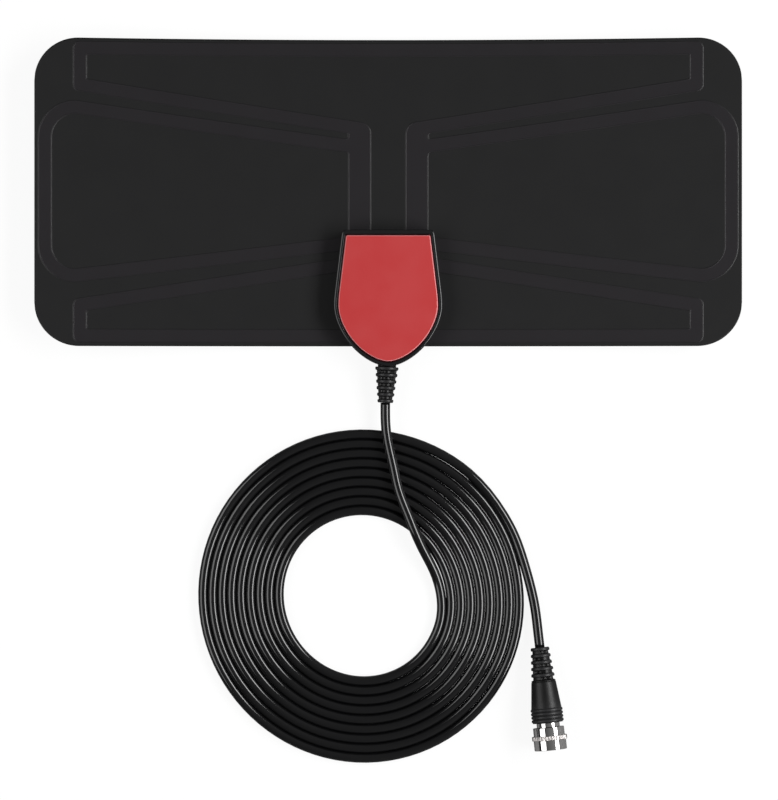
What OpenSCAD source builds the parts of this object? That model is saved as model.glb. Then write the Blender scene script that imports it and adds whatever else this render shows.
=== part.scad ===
// Flat indoor antenna: a thin laminated sheet with a foil aerial inside, a clip-on
// housing with a matching transformer, and a thin coaxial lead that ends in a
// screw-on plug. Millimetres. The antenna lies face up: +Z faces the viewer, +Y runs
// from the lead to the sheet's top edge, and z = 0 is the surface that it lies on.

/* [Sheet] */
// Width of the flat sheet
sheet_w = 250; // [220:1:280]
// Height of the flat sheet
sheet_h = 109.2; // [100:0.2:130]
// Radius of the sheet's corners
sheet_r = 15.5; // [10:0.5:22]
// Thickness of each of the two plastic films
film_t = 0.25; // [0.15:0.05:0.4]
// How far the left and right ends of the sheet curl up
curl = 7.4; // [5:0.2:10]

/* [Foil] */
// Thickness of the foil between the films
foil_t = 0.1; // [0.05:0.05:0.2]
// Width of the foil strips
strip_w = 4.5; // [3.5:0.1:5.5]
// Distance from the foil's outer strips to the edge of the sheet
foil_margin = 1.4; // [1:0.1:4]
// Width of the two feed bars that run down into the housing
feed_w = 7.8; // [6:0.1:9]
// Clear distance between the two feed bars
feed_gap = 12.6; // [10:0.2:16]
// How much shorter the upper and lower loops are than the sheet, at each end
loop_inset = 13.6; // [11:0.2:18]
// Radius of the rounded outer ends of the two side loops
loop_r = 13; // [9:0.5:16]

/* [Housing] */
// Greatest width of the housing
shell_w = 38.7; // [37:0.1:44]
// Width of the housing at its straight top edge
shell_top_w = 33; // [31:0.1:36]
// Length of the housing
shell_l = 47.6; // [45:0.1:52]
// Distance from the lowest point of the housing to its widest place
belly_h = 21.2; // [19:0.1:22]
// Radius of the bend in the housing's sides, above the widest place
shoulder_r = 45; // [30:1:60]
// How far the housing reaches below the sheet's bottom edge
shell_drop = 7.2; // [5:0.1:8]
// Thickness of the back shell
back_t = 1.6; // [1.4:0.1:2.4]
// Height of the front shell's rim above the table
rim_h = 9; // [8.8:0.1:10]
// Rounding of the rim's outer edge
rim_r = 0.6; // [0.4:0.1:1.2]
// How far the housing's outer wall leans in from its foot to its rim
wall_draft = 0.3; // [0:0.05:0.4]
// Wall thickness of the front shell
wall_t = 1.4; // [1:0.1:2]
// Thickness of the front shell's roof under the cover plate
roof_t = 1; // [0.8:0.1:1.2]
// Thickness of the coloured cover plate
cover_t = 1.6; // [1.2:0.1:2]
// Bevel along the cover plate's edge
cover_bevel = 0.45; // [0.2:0.05:0.8]
// Width of the groove around the cover plate
cover_groove = 0.5; // [0.3:0.05:0.7]
// Width of the rim beside the cover plate's groove
rim_w = 1.3; // [1.2:0.1:2]

/* [Circuit] */
// Width of the circuit board
board_w = 27; // [24:0.5:29]
// Length of the circuit board
board_l = 29; // [27:0.5:30]
// Thickness of the circuit board
board_t = 1; // [0.8:0.1:1.2]
// Height of the circuit board's back face above the table
board_z = 3; // [2.8:0.05:3.05]
// Width of the two-hole ferrite core
core_w = 7.6; // [6.6:0.1:9]
// Height of the ferrite core above the board
core_h = 2.4; // [2.2:0.1:2.5]
// Length of the ferrite core
core_l = 5; // [4:0.1:6]
// Diameter of the winding wire
wire_d = 0.42; // [0.3:0.02:0.5]
// Diameter of the shells' locating pins
pin_d = 2.2; // [1.8:0.1:2.6]

/* [Lead] */
// Outer diameter of the coaxial lead
cable_d = 3.4; // [3:0.1:3.8]
// Height of the lead's centre line where it leaves the housing
cable_z = 4.6; // [4.5:0.05:4.7]
// Angle by which the lead leans to the left as it leaves the housing
cable_lean = 2.6; // [0:0.2:4]
// Inner radius of the coil
coil_in = 27; // [24:0.5:29]
// Outer radius of the coil
coil_out = 60; // [56:0.5:64]

/* [Strain relief] */
// Number of rings on each strain relief
ring_count = 6; // [5:1:6]
// Distance from one ring to the next
ring_pitch = 2.3; // [2.1:0.05:2.5]
// Thickness of a ring along the lead
ring_t = 1.2; // [0.9:0.05:1.4]
// Diameter of the housing strain relief's largest ring
relief_d = 8.4; // [7:0.1:8.6]
// Diameter of the housing strain relief's smallest ring
relief_end_d = 5.8; // [4.8:0.1:6]
// Diameter of the neck that the housing grips
neck_d = 6.5; // [5.6:0.1:6.8]
// Thickness of the side bridges between the rings
bridge_t = 0.85; // [0.6:0.05:1]

/* [Plug] */
// Diameter of the grip's end ring, where the lead enters
grip_end_d = 6.8; // [5.6:0.1:7]
// Diameter of the grip's ring next to its body
grip_ring_d = 8.8; // [7.4:0.1:9]
// Diameter of the grip's body at the rings
grip_d = 8.7; // [8.4:0.1:9.4]
// Diameter of the grip's body at the collar
grip_front_d = 10.8; // [10:0.1:11]
// Length of the grip's tapering body
grip_l = 9.6; // [8:0.1:12]
// Diameter of the ribbed collar
collar_d = 11.4; // [11:0.1:12]
// Length of the ribbed collar
collar_l = 5; // [4:0.1:6]
// Length of the metal neck between the collar and the nut
neck_l = 1.6; // [1.2:0.1:2.4]
// Diameter of the metal neck
neck_metal_d = 8.2; // [7.6:0.1:9]
// Diameter of the nut's rear step
nut_rear_d = 11; // [10.6:0.1:11.4]
// Diameter of the nut's front step
nut_front_d = 11.5; // [11:0.1:11.9]
// Diameter over the nut's knurled ridge
ridge_d = 12.4; // [12:0.1:12.6]
// Length of the nut's rear step
nut_rear_l = 3; // [2.4:0.1:3.6]
// Length of the knurled ridge
ridge_l = 1.5; // [1.2:0.1:2]
// Length of the nut's front step
nut_front_l = 3.5; // [3:0.1:4.5]
// Diameter of the nut's internal thread, at its crests
thread_d = 8.9; // [8.7:0.05:9.1]
// Number of notches around the knurled ridge
knurl_count = 36; // [24:1:48]
// Diameter of the centre pin's free end
pin_wire_d = 0.8; // [0.6:0.05:1]
// Diameter of the centre pin inside its insulation
pin_root_d = 1.2; // [1.2:0.05:1.4]

/* [Hidden] */
$fn = 48;
eps = 0.01;

// The origin is under the middle of the sheet and housing taken together.
bottom_edge = -(sheet_h - shell_drop) / 2;
bend_fn = 720;
bend_r = (pow(sheet_w / 2, 2) + curl * curl) / (2 * curl);
bend_z = back_t + bend_r;
front_film_z = back_t + film_t;
foil_top_z = front_film_z + foil_t;
sheet_top_z = foil_top_z + film_t;
block_h = back_t + curl + 5;

// Heights of the foil's slanted strips at the feed bars and at their outer ends.
// The upper ones are measured from the sheet's top edge, the lower ones from the bottom.
feed_x = (feed_gap + feed_w) / 2;
top_y = sheet_h - foil_margin - strip_w / 2;
low_y = foil_margin + strip_w / 2;
loop_x = sheet_w / 2 - loop_inset - strip_w / 2;
side_x = sheet_w / 2 - foil_margin - strip_w / 2;
upper_in = sheet_h - 31.6;
upper_out = sheet_h - 16.6;
mid_top_in = sheet_h - 38.3;
mid_top_out = sheet_h - 24.6;
mid_low_in = 37.2;
mid_low_out = 25;
lower_in = 30;
lower_out = 14.6;

// The housing's outline: an oval lower half, straight sides that lean in above a bend,
// and a straight top edge.
belly_y = belly_h - shell_drop;
side_h = shell_l - belly_h;
side_bow = (shell_w - shell_top_w) / 2;
side_lean = asin(shoulder_r / norm([side_h, shoulder_r - side_bow]))
    - atan2(shoulder_r - side_bow, side_h);
corner_r = 1.2;
foot_r = 0.8;
slot_top = sheet_top_z + shell_w * shell_w / (8 * bend_r) + 0.02;
oval_power = 1.7;
roof_z = rim_h - roof_t - roof_t;
cover_top_w = 0.85;
cover_low_w = 1.3;

// Where the lead's axis crosses the housing's lowest point, and how far the strain
// relief's neck reaches in from there.
lead_x = -0.43;
neck_in = wall_t + 2;

board_y = 9.2;
board_top = board_z + board_t;
notch_w = 2.9;
notch_l = 2.6;
notch_x = lead_x + (board_y + notch_l / 2 + shell_drop) * tan(cable_lean);
core_y = 23.5;
bore_x = core_w * 0.22;
bore_d = 1.3;
contact_x = min(feed_x, board_w / 2 - 3.3);
contact_y = board_y + board_l - 7.2;
contact_w = 3.6;
contact_l = 3.4;
contact_t = 0.25;
pin_spots = [[0, board_y + board_l - 3], [-board_w / 2 + 2.6, 14.5], [board_w / 2 - 2.6, 14.5]];
shoulder_d = pin_d + 1.6;
boss_d = pin_d + 2.2;
fit = 0.05;

// The lead's straight stretch through the housing wall and the strain relief.
relief_gap = 0.2;
relief_l = relief_gap + (ring_count - 1) * ring_pitch + ring_t;
stub_in = 10.2;
braid_d = 2.5;
braid_l = 8;
core_wire_d = 1.5;
wire_l = 3.2;
wire_end_y = stub_in + braid_l + wire_l - 0.6 - shell_drop;
wire_end_x = lead_x + (wire_end_y + shell_drop) * tan(cable_lean);

// The plug's lengths, measured from the end of its strain relief.
grip_start = ring_count * ring_pitch - 1.8;
collar_start = grip_start + grip_l;
neck_start = collar_start + collar_l;
nut_start = neck_start + neck_l;
ridge_start = nut_start + nut_rear_l;
front_start = ridge_start + ridge_l;
plug_l = front_start + nut_front_l;
ferrule_start = grip_start + 2;
nut_wall = 0.8;
run = 0.06;
post_d = 5.8;
flange_d = thread_d - 0.5;
flange_l = 1.2;
dielectric_d = 3;
dielectric_end = nut_start + nut_wall + 2 * run + flange_l;
pin_shoulder = 0.5;

// The plug rests on its end ring and on the collar's first rib, so it tips up a little.
plug_x = 54;
plug_y = -107.2;
plug_heading = -84.2;
plug_pitch = asin((collar_d - grip_end_d) / 2 / collar_start);
plug_z = grip_end_d / 2 * cos(plug_pitch) + 0.02;

coil_x = -9.2;
coil_y = -90.1;

// Centre line of the lead from the housing over the coil to its innermost turn.
lead_path = [[-1, -20.1, 4.6], [-1, -25, 4.7], [-0.6, -31, 5], [1.9, -43, 5.2], [3.7, -51, 5.2],
    [6.7, -59, 5.2], [9.1, -65, 5.2], [12, -72.5, 4.2], [15.8, -80, 2.5], [18.5, -88, 1.8],
    [18.7, -97.5, 1.75]];
// Centre line of the lead from the coil's outermost turn to the plug.
tail_path = [[41, -60, 1.75], [45, -67.5, 1.75], [48.2, -76.5, 1.75], [50.6, -85, 1.75],
    [52.4, -93.5, 2.0], [53.3, -101, 2.8], [54, -107.2, 3.4]];

// Points of the housing's outline, moved inwards by side, top and low.
function shield(side = 0, top = 0, low = 0) =
    let (a = shell_w / 2 - side, b = belly_h - low, h = side_h - top, r = shoulder_r - side,
        cx = shell_w / 2 - shoulder_r, c = max(corner_r - side / 4, 0.3), turn = side_lean,
        ccx = cx + (r - c - (h - c) * sin(turn)) / cos(turn))
    let (right = concat(
            [for (i = [0 : 4]) let (t = turn * i / 4) [cx + r * cos(t), r * sin(t)]],
            [for (i = [0 : 4]) let (t = turn + (90 - turn) * i / 4)
                [ccx + c * cos(t), h - c + c * sin(t)]]),
        oval = [for (i = [1 : 23]) let (t = 180 + 7.5 * i)
            [sign(cos(t)) * a * pow(abs(cos(t)), 2 / oval_power),
                -b * pow(abs(sin(t)), 2 / oval_power)]],
        left = [for (i = [9 : -1 : 0]) [-right[i][0], right[i][1]]])
    [for (p = concat(right, left, oval)) [p[0], p[1] + belly_y]];

// Moves geometry that is drawn from the sheet's bottom edge into the part's frame.
module placed() {
    translate([0, bottom_edge, 0]) children();
}

// What lies above the bent surface that stands at height z in the middle of the sheet.
module above(z, extra) {
    translate([0, sheet_h + 1 + extra, bend_z]) rotate([90, 0, 0])
        cylinder(r = bend_z - z, h = sheet_h + 2 + 2 * extra, $fn = bend_fn);
}

// The bent layer between two heights.
module layer(z0, z1) {
    difference() {
        above(z0, 0);
        above(z1, 1);
    }
}

module sheet_outline() {
    translate([-sheet_w / 2 + sheet_r, 0]) square([sheet_w - 2 * sheet_r, sheet_h]);
    translate([-sheet_w / 2, sheet_r]) square([sheet_w, sheet_h - 2 * sheet_r]);
    for (x = [-1, 1], y = [sheet_r, sheet_h - sheet_r])
        translate([x * (sheet_w / 2 - sheet_r), y]) circle(r = sheet_r);
}

// A foil strip between two points, with round ends.
module strip(a, b, w = strip_w) {
    d = b - a;
    translate(a) rotate(atan2(d[1], d[0])) {
        translate([0, -w / 2]) square([norm(d), w]);
        circle(d = w);
        translate([norm(d), 0]) circle(d = w);
    }
}

// The rounded outer end of a side loop.
module loop_end() {
    r = loop_r - strip_w / 2;
    x = side_x - r;
    strip([side_x, mid_low_out + r], [side_x, mid_top_out - r]);
    for (s = [[mid_low_out + r, -90], [mid_top_out - r, 0]])
        translate([x, s[0]]) intersection() {
            difference() {
                circle(r = loop_r);
                circle(r = loop_r - strip_w);
            }
            rotate(s[1]) square(loop_r);
        }
    strip([x, mid_top_out], [feed_x, mid_top_in]);
    strip([x, mid_low_out], [feed_x, mid_low_in]);
}

module foil_half() {
    strip([-eps, top_y], [loop_x, top_y]);
    strip([loop_x, top_y], [loop_x, upper_out]);
    strip([loop_x, upper_out], [feed_x, upper_in]);
    loop_end();
    strip([feed_x, lower_in], [loop_x, lower_out]);
    strip([loop_x, lower_out], [loop_x, low_y]);
    strip([-eps, low_y], [loop_x, low_y]);
    strip([feed_x, lower_in], [feed_x, upper_in - (feed_w - strip_w) / 2], feed_w);
}

module foil_outline() {
    foil_half();
    mirror([1, 0]) foil_half();
}

module pin_holes(d) {
    for (p = pin_spots) translate([p[0], p[1], -1]) cylinder(d = d, h = rim_h + 2);
}

module back_film() color([0.1, 0.1, 0.11]) placed() difference() {
    intersection() {
        linear_extrude(block_h) sheet_outline();
        layer(back_t, front_film_z);
    }
    pin_holes(shoulder_d + 0.2);
}

module foil_loops() color([0.75, 0.7, 0.6]) placed() intersection() {
    linear_extrude(block_h) foil_outline();
    layer(front_film_z, foil_top_z);
}

module front_film() color([0.16, 0.16, 0.17]) placed() difference() {
    union() {
        intersection() {
            linear_extrude(block_h) sheet_outline();
            layer(front_film_z, front_film_z + film_t);
        }
        intersection() {
            linear_extrude(block_h) foil_outline();
            layer(foil_top_z, sheet_top_z);
        }
    }
    intersection() {
        linear_extrude(block_h) foil_outline();
        layer(front_film_z - eps, foil_top_z);
    }
    pin_holes(shoulder_d + 0.2);
    for (x = [-contact_x, contact_x])
        translate([x - contact_w / 2 - 0.3, contact_y - contact_l / 2 - 0.3, 0])
            cube([contact_w + 0.6, contact_l + 0.6, rim_h]);
}

// A solid that runs through a list of outlines, each a list of points at one height.
module loft(rings) {
    n = len(rings[0]);
    last = len(rings) - 1;
    polyhedron([for (r = rings) each r],
        concat([[for (k = [0 : n - 1]) k]],
            [for (i = [0 : last - 1], k = [0 : n - 1]) let (j = (k + 1) % n)
                [i * n + k, (i + 1) * n + k, (i + 1) * n + j, i * n + j]],
            [[for (k = [n - 1 : -1 : 0]) last * n + k]]), convexity = 4);
}

function at_height(points, z) = [for (p = points) [p[0], p[1], z]];

// The housing's outline from z0 up to z1, with walls that lean in by draft and with its
// top edge rounded by r.
module rounded_block(z0, z1, r, draft = 0) {
    loft(concat([at_height(shield(), z0)],
        [for (i = [0 : 4]) let (t = 22.5 * i, d = draft + r * (1 - cos(t)))
            at_height(shield(d, d, d), z1 - r * (1 - sin(t)))]));
}

// Places what is drawn along +Z on the lead's axis, pointing out of the housing.
module on_lead() {
    translate([lead_x, -shell_drop, cable_z]) rotate([0, 0, -cable_lean]) rotate([90, 0, 0]) children();
}

module back_shell() color([0.07, 0.07, 0.08]) placed() difference() {
    union() {
        translate([0, 0, back_t]) mirror([0, 0, 1]) rounded_block(0, back_t, foot_r);
        for (p = pin_spots) translate([p[0], p[1], back_t / 2]) {
            cylinder(d = shoulder_d, h = board_z - back_t / 2);
            cylinder(d = pin_d, h = roof_z - 0.6 - back_t / 2);
        }
    }
    on_lead() translate([0, 0, -neck_in]) cylinder(d = neck_d, h = neck_in + 3);
}

module front_shell() color([0.09, 0.09, 0.1]) placed() difference() {
    union() {
        difference() {
            rounded_block(back_t, rim_h, rim_r, wall_draft);
            translate([0, 0, -1]) linear_extrude(roof_z + 1) polygon(shield(wall_t, wall_t, wall_t));
        }
        for (p = pin_spots) translate([p[0], p[1], board_top])
            cylinder(d = boss_d, h = roof_z + roof_t / 2 - board_top);
    }
    translate([-sheet_w / 2, -0.1, 0]) cube([sheet_w, sheet_h, slot_top]);
    for (p = pin_spots) translate([p[0], p[1], 0]) cylinder(d = pin_d + 2 * fit, h = roof_z - 0.2);
    translate([0, 0, roof_z + roof_t]) linear_extrude(rim_h)
        polygon(shield(rim_w, cover_top_w, cover_low_w));
    on_lead() translate([0, 0, -neck_in]) cylinder(d = neck_d, h = neck_in + 3);
}

module cover_plate() color([0.75, 0.25, 0.25]) placed() {
    z = roof_z + roof_t;
    side = rim_w + cover_groove;
    top = cover_top_w + cover_groove;
    low = cover_low_w + cover_groove;
    translate([0, 0, z]) hull() {
        linear_extrude(cover_t - cover_bevel) polygon(shield(side, top, low));
        linear_extrude(cover_t)
            polygon(shield(side + cover_bevel, top + cover_bevel, low + cover_bevel));
    }
}

module circuit_board() color([0.1, 0.35, 0.2]) placed() difference() {
    translate([-board_w / 2, board_y, board_z]) cube([board_w, board_l, board_t]);
    translate([notch_x - notch_w / 2, board_y - 1, board_z - 1]) cube([notch_w, notch_l + 1, board_t + 2]);
    pin_holes(pin_d + 2 * fit);
}

module balun_core() color([0.25, 0.25, 0.27]) placed()
    translate([0, core_y + core_l / 2, board_top + core_h / 2]) rotate([90, 0, 0]) difference() {
        linear_extrude(core_l) {
            square([core_w - core_h, core_h], center = true);
            for (x = [-1, 1]) translate([x * (core_w - core_h) / 2, 0]) circle(d = core_h);
        }
        for (x = [-bore_x, bore_x]) translate([x, 0, -1]) cylinder(d = bore_d, h = core_l + 2);
    }

// One turn of wire through both bores of the core, around its end faces.
module wire_turn(z) {
    straight = core_l + 0.4;
    translate([0, core_y, z]) {
        for (x = [-bore_x, bore_x]) translate([x, straight / 2, 0]) rotate([90, 0, 0])
            cylinder(d = wire_d, h = straight, $fn = 24);
        for (s = [0, 180]) rotate(s) translate([0, straight / 2, 0])
            rotate_extrude(angle = 180, $fn = 48) translate([bore_x, 0]) circle(d = wire_d, $fn = 24);
    }
}

module balun_windings() color([0.7, 0.35, 0.15]) placed() {
    mid = board_top + core_h / 2;
    for (z = [-1, 1]) wire_turn(mid + z * (wire_d / 2 + 0.04));
    for (x = [-1, 1], y = [-1, 1])
        translate([x * bore_x, core_y + y * (core_l / 2 + 0.25), board_top])
            cylinder(d = wire_d, h = core_h / 2, $fn = 24);
}

// A sprung loop of strip that stands on a feed bar and holds up the board's edge.
module contact(x) {
    h = board_z - foil_top_z - pow(contact_x + contact_w / 2, 2) / (2 * bend_r) - eps;
    z = board_z - h;
    translate([x - contact_w / 2, contact_y, z + h / 2]) rotate([90, 0, 90]) linear_extrude(contact_w)
        difference() {
            union() {
                translate([-contact_l / 2 + h / 2, -h / 2]) square([contact_l - h / 2, h]);
                translate([-contact_l / 2 + h / 2, 0]) circle(d = h);
            }
            translate([-contact_l / 2 + h / 2, -h / 2 + contact_t])
                square([contact_l, h - 2 * contact_t]);
            translate([-contact_l / 2 + h / 2, 0]) circle(d = h - 2 * contact_t);
        }
}

module contact_left() color([0.8, 0.65, 0.35]) placed() contact(-contact_x);

module contact_right() color([0.8, 0.65, 0.35]) placed() contact(contact_x);

module solder_joints() color([0.75, 0.76, 0.78]) placed() difference() {
    union() {
        for (x = [-1, 1], y = [-1, 1])
            translate([x * (bore_x + 0.5), core_y + y * (core_l / 2 + 1.6), board_top])
                cylinder(r1 = 0.9, r2 = 0.4, h = 0.5);
        for (x = [-1, 1]) translate([notch_x + x * (notch_w / 2 + 0.6), board_y + notch_l / 2, board_top])
            cylinder(r1 = 0.9, r2 = 0.5, h = 0.9);
        translate([wire_end_x, wire_end_y, board_top]) cylinder(r1 = 1, r2 = 0.6, h = 0.9);
    }
    on_lead() translate([0, 0, -stub_in - braid_l - wire_l]) cylinder(d = 0.5, h = wire_l);
    on_lead() translate([0, 0, -stub_in - braid_l]) cylinder(d = braid_d + 0.02, h = braid_l);
}

// The slotted part of a strain relief: rings on a tapering sleeve, from d0 to d1, with a
// window in each gap that leaves a bridge on either side. turned lists the gaps whose
// windows face square to the others.
module relief(d0, d1, turned) {
    l = (ring_count - 1) * ring_pitch + ring_t;
    difference() {
        union() {
            cylinder(d1 = d0 - 0.5, d2 = d1 - 0.5, h = l);
            for (i = [0 : ring_count - 1])
                translate([0, 0, i * ring_pitch])
                    cylinder(d = d0 + (d1 - d0) * i / (ring_count - 1), h = ring_t);
        }
        for (i = [0 : ring_count - 2]) let (d = d0 - 0.5 + (d1 - d0) * (i + 0.6) / (ring_count - 1))
            rotate(len(search(i, turned)) > 0 ? 90 : 0)
                translate([-d / 2 + bridge_t, -d, i * ring_pitch + ring_t])
                    cube([d - 2 * bridge_t, 2 * d, ring_pitch - ring_t]);
    }
}

module cable_boot() color([0.06, 0.06, 0.07]) placed() on_lead() difference() {
    union() {
        translate([0, 0, -neck_in]) cylinder(d = neck_d, h = neck_in + relief_gap);
        translate([0, 0, relief_gap]) relief(relief_d, relief_end_d, []);
        intersection() {
            translate([0, 0, -neck_in - 1]) cylinder(d = neck_d + 2.4, h = 1.2);
            translate([-neck_d, -cable_z + back_t + 0.2, -neck_in - 1])
                cube([2 * neck_d, roof_z - back_t - 0.4, 1.2]);
        }
    }
    translate([0, 0, -neck_in - 2]) cylinder(d = cable_d, h = relief_l + neck_in + 3);
}

module cable_stub() color([0.05, 0.05, 0.06]) placed() on_lead()
    translate([0, 0, -stub_in]) cylinder(d = cable_d, h = stub_in + relief_l);

module coax_braid() color([0.7, 0.7, 0.72]) placed() on_lead()
    translate([0, 0, -stub_in - braid_l]) cylinder(d = braid_d, h = braid_l);

module coax_core() color([0.85, 0.6, 0.4]) placed() on_lead()
    translate([0, 0, -stub_in - braid_l - wire_l]) {
        cylinder(d = 0.5, h = wire_l);
        translate([0, 0, wire_l / 2]) cylinder(d = 1, h = wire_l / 2);
    }

// A round tube along a list of points.
module tube(path, d, sides = 8) {
    n = len(path);
    function tangent(i) = let (v = path[min(i + 1, n - 1)] - path[max(i - 1, 0)]) v / norm(v);
    function side(i) = let (v = cross(tangent(i), [0, 0, 1])) v / norm(v);
    points = [for (i = [0 : n - 1]) let (u = side(i), v = cross(u, tangent(i)))
        for (k = [0 : sides - 1]) let (t = 360 * k / sides)
            path[i] + d / 2 * (cos(t) * u + sin(t) * v)];
    faces = concat([[for (k = [0 : sides - 1]) k]],
        [for (i = [0 : n - 2], k = [0 : sides - 1]) let (j = (k + 1) % sides)
            [i * sides + k, (i + 1) * sides + k, (i + 1) * sides + j, i * sides + j]],
        [[for (k = [sides - 1 : -1 : 0]) (n - 1) * sides + k]]);
    polyhedron(points, faces, convexity = 6);
}

module cord_lead() color([0.05, 0.05, 0.06]) placed() tube(lead_path, cable_d);

module cord_coil() color([0.05, 0.05, 0.06]) placed() translate([coil_x, coil_y, 0])
    rotate_extrude($fn = 96) translate([coil_in, 0]) square([coil_out - coil_in, cable_d]);

module cord_tail() color([0.05, 0.05, 0.06]) placed() tube(tail_path, cable_d);

// Places what is drawn along +Z on the plug's axis, from the lead's end to the nut.
module on_plug() {
    translate([plug_x, plug_y, plug_z]) rotate([0, 90 - plug_pitch, plug_heading]) children();
}

module plug_grip() color([0.06, 0.06, 0.07]) placed() on_plug() difference() {
    union() {
        translate([0, 0, (ring_count - 1) * ring_pitch + ring_t]) rotate(-45) mirror([0, 0, 1])
            relief(grip_ring_d, grip_end_d, [1, 3]);
        translate([0, 0, grip_start]) cylinder(d1 = grip_d, d2 = grip_front_d, h = grip_l);
        translate([0, 0, collar_start]) cylinder(d = collar_d - 0.6, h = collar_l);
        for (i = [0 : 3]) translate([0, 0, collar_start + i * collar_l / 4])
            cylinder(d = collar_d, h = collar_l / 4 - 0.45);
    }
    translate([0, 0, -1]) cylinder(d = cable_d, h = ferrule_start + 1 + eps);
    translate([0, 0, ferrule_start]) cylinder(d = post_d + 0.6, h = plug_l);
}

module plug_stub() color([0.05, 0.05, 0.06]) placed() on_plug() cylinder(d = cable_d, h = ferrule_start + 3);

// The plug's metal body: a sleeve crimped on the lead, the visible neck, and the post
// with the flange that keeps the nut on.
module connector_body() color([0.8, 0.8, 0.82]) placed() on_plug() rotate_extrude() difference() {
    union() {
        translate([0, ferrule_start]) square([post_d / 2 + 0.3, neck_start - ferrule_start + 0.5]);
        translate([0, neck_start]) square([neck_metal_d / 2, neck_l]);
        translate([0, nut_start - 0.5]) square([post_d / 2, nut_wall + 2 * run + 1]);
        translate([0, nut_start + nut_wall + 2 * run]) square([flange_d / 2, flange_l]);
    }
    translate([0, ferrule_start - 1]) square([cable_d / 2, 4]);
    translate([0, ferrule_start]) square([dielectric_d / 2, plug_l]);
}

module connector_dielectric() color([0.9, 0.9, 0.88]) placed() on_plug() {
    start = ferrule_start + 3;
    l = dielectric_end - start;
    translate([0, 0, start]) difference() {
        cylinder(d = dielectric_d, h = l);
        translate([0, 0, -1]) cylinder(d = pin_root_d, h = l + 2);
    }
}

// The centre pin: a thicker root inside the insulation, then the free end, with a taper.
module centre_pin() color([0.85, 0.6, 0.4]) placed() on_plug() {
    root = dielectric_end + pin_shoulder;
    end = plug_l - 0.6;
    translate([0, 0, ferrule_start + 3]) cylinder(d = pin_root_d, h = root - ferrule_start - 3);
    translate([0, 0, root - eps]) cylinder(d = pin_wire_d, h = end - 0.2 - root + eps);
    translate([0, 0, end - 0.2]) cylinder(d1 = pin_wire_d, d2 = pin_wire_d - 0.3, h = 0.2);
}

module coupling_nut() color([0.82, 0.82, 0.84]) placed() on_plug() difference() {
    union() {
        translate([0, 0, nut_start + run]) cylinder(d = nut_rear_d, h = nut_rear_l + ridge_l - run);
        translate([0, 0, ridge_start]) linear_extrude(ridge_l) polygon([for (i = [0 : 2 * knurl_count - 1])
            let (r = ridge_d / 2 - (i % 2) * 0.3, t = 180 * i / knurl_count) [r * cos(t), r * sin(t)]]);
        translate([0, 0, front_start - 0.5]) cylinder(d = nut_front_d, h = nut_front_l + 0.5);
    }
    translate([0, 0, nut_start - 1]) cylinder(d = post_d + 0.16, h = nut_wall + 2);
    translate([0, 0, nut_start + run + nut_wall]) cylinder(d = thread_d, h = plug_l);
}

front_film();
back_film();
foil_loops();
front_shell();
back_shell();
cover_plate();
circuit_board();
balun_core();
balun_windings();
contact_left();
contact_right();
solder_joints();
cable_boot();
cable_stub();
coax_braid();
coax_core();
cord_lead();
cord_coil();
cord_tail();
plug_grip();
plug_stub();
connector_body();
coupling_nut();
connector_dielectric();
centre_pin();
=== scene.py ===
"""Flat indoor antenna, face up on a white table: the looks of each piece.

Sizes are in millimetres, and times mm they are the metres that Blender takes. Only the
camera's height, the table and the lamps are written in metres. The table is z = 0.
"""

import bmesh
import bpy
import numpy as np
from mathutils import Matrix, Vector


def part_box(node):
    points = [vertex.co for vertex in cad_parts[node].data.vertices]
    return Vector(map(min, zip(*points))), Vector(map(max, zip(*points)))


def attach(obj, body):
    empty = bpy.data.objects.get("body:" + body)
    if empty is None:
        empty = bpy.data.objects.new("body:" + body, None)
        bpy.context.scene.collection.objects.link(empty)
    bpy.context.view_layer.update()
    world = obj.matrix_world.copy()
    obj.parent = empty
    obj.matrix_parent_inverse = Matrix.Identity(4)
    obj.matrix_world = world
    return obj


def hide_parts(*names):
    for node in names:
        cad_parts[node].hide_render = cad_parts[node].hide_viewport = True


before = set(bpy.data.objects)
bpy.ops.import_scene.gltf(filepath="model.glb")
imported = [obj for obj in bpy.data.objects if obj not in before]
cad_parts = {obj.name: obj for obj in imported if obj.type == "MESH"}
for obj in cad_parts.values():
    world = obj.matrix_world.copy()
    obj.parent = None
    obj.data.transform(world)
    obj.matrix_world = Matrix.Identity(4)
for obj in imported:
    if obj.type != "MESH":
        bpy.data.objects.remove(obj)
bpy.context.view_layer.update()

# Camera
# The photograph looks straight down from 0.8 m. The picture's long side, 286 mm of the
# table, takes the sensor's width. Places along Y are measured from the sheet's lower edge.
mm = 0.001
edge_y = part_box("back_film")[0][1]
eye_x, eye_below, eye_height = 0.3 * mm, 19.12 * mm, 0.8
focal_length, sensor_w, nearest = 100.7, 36, 0.05
eye = bpy.data.objects.new("eye", bpy.data.cameras.new("eye"))
eye.data.lens = focal_length
eye.data.sensor_width = sensor_w
eye.data.clip_start = nearest
eye.location = (eye_x, edge_y - eye_below, eye_height)
bpy.context.scene.collection.objects.link(eye)
bpy.context.scene.camera = eye

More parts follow.
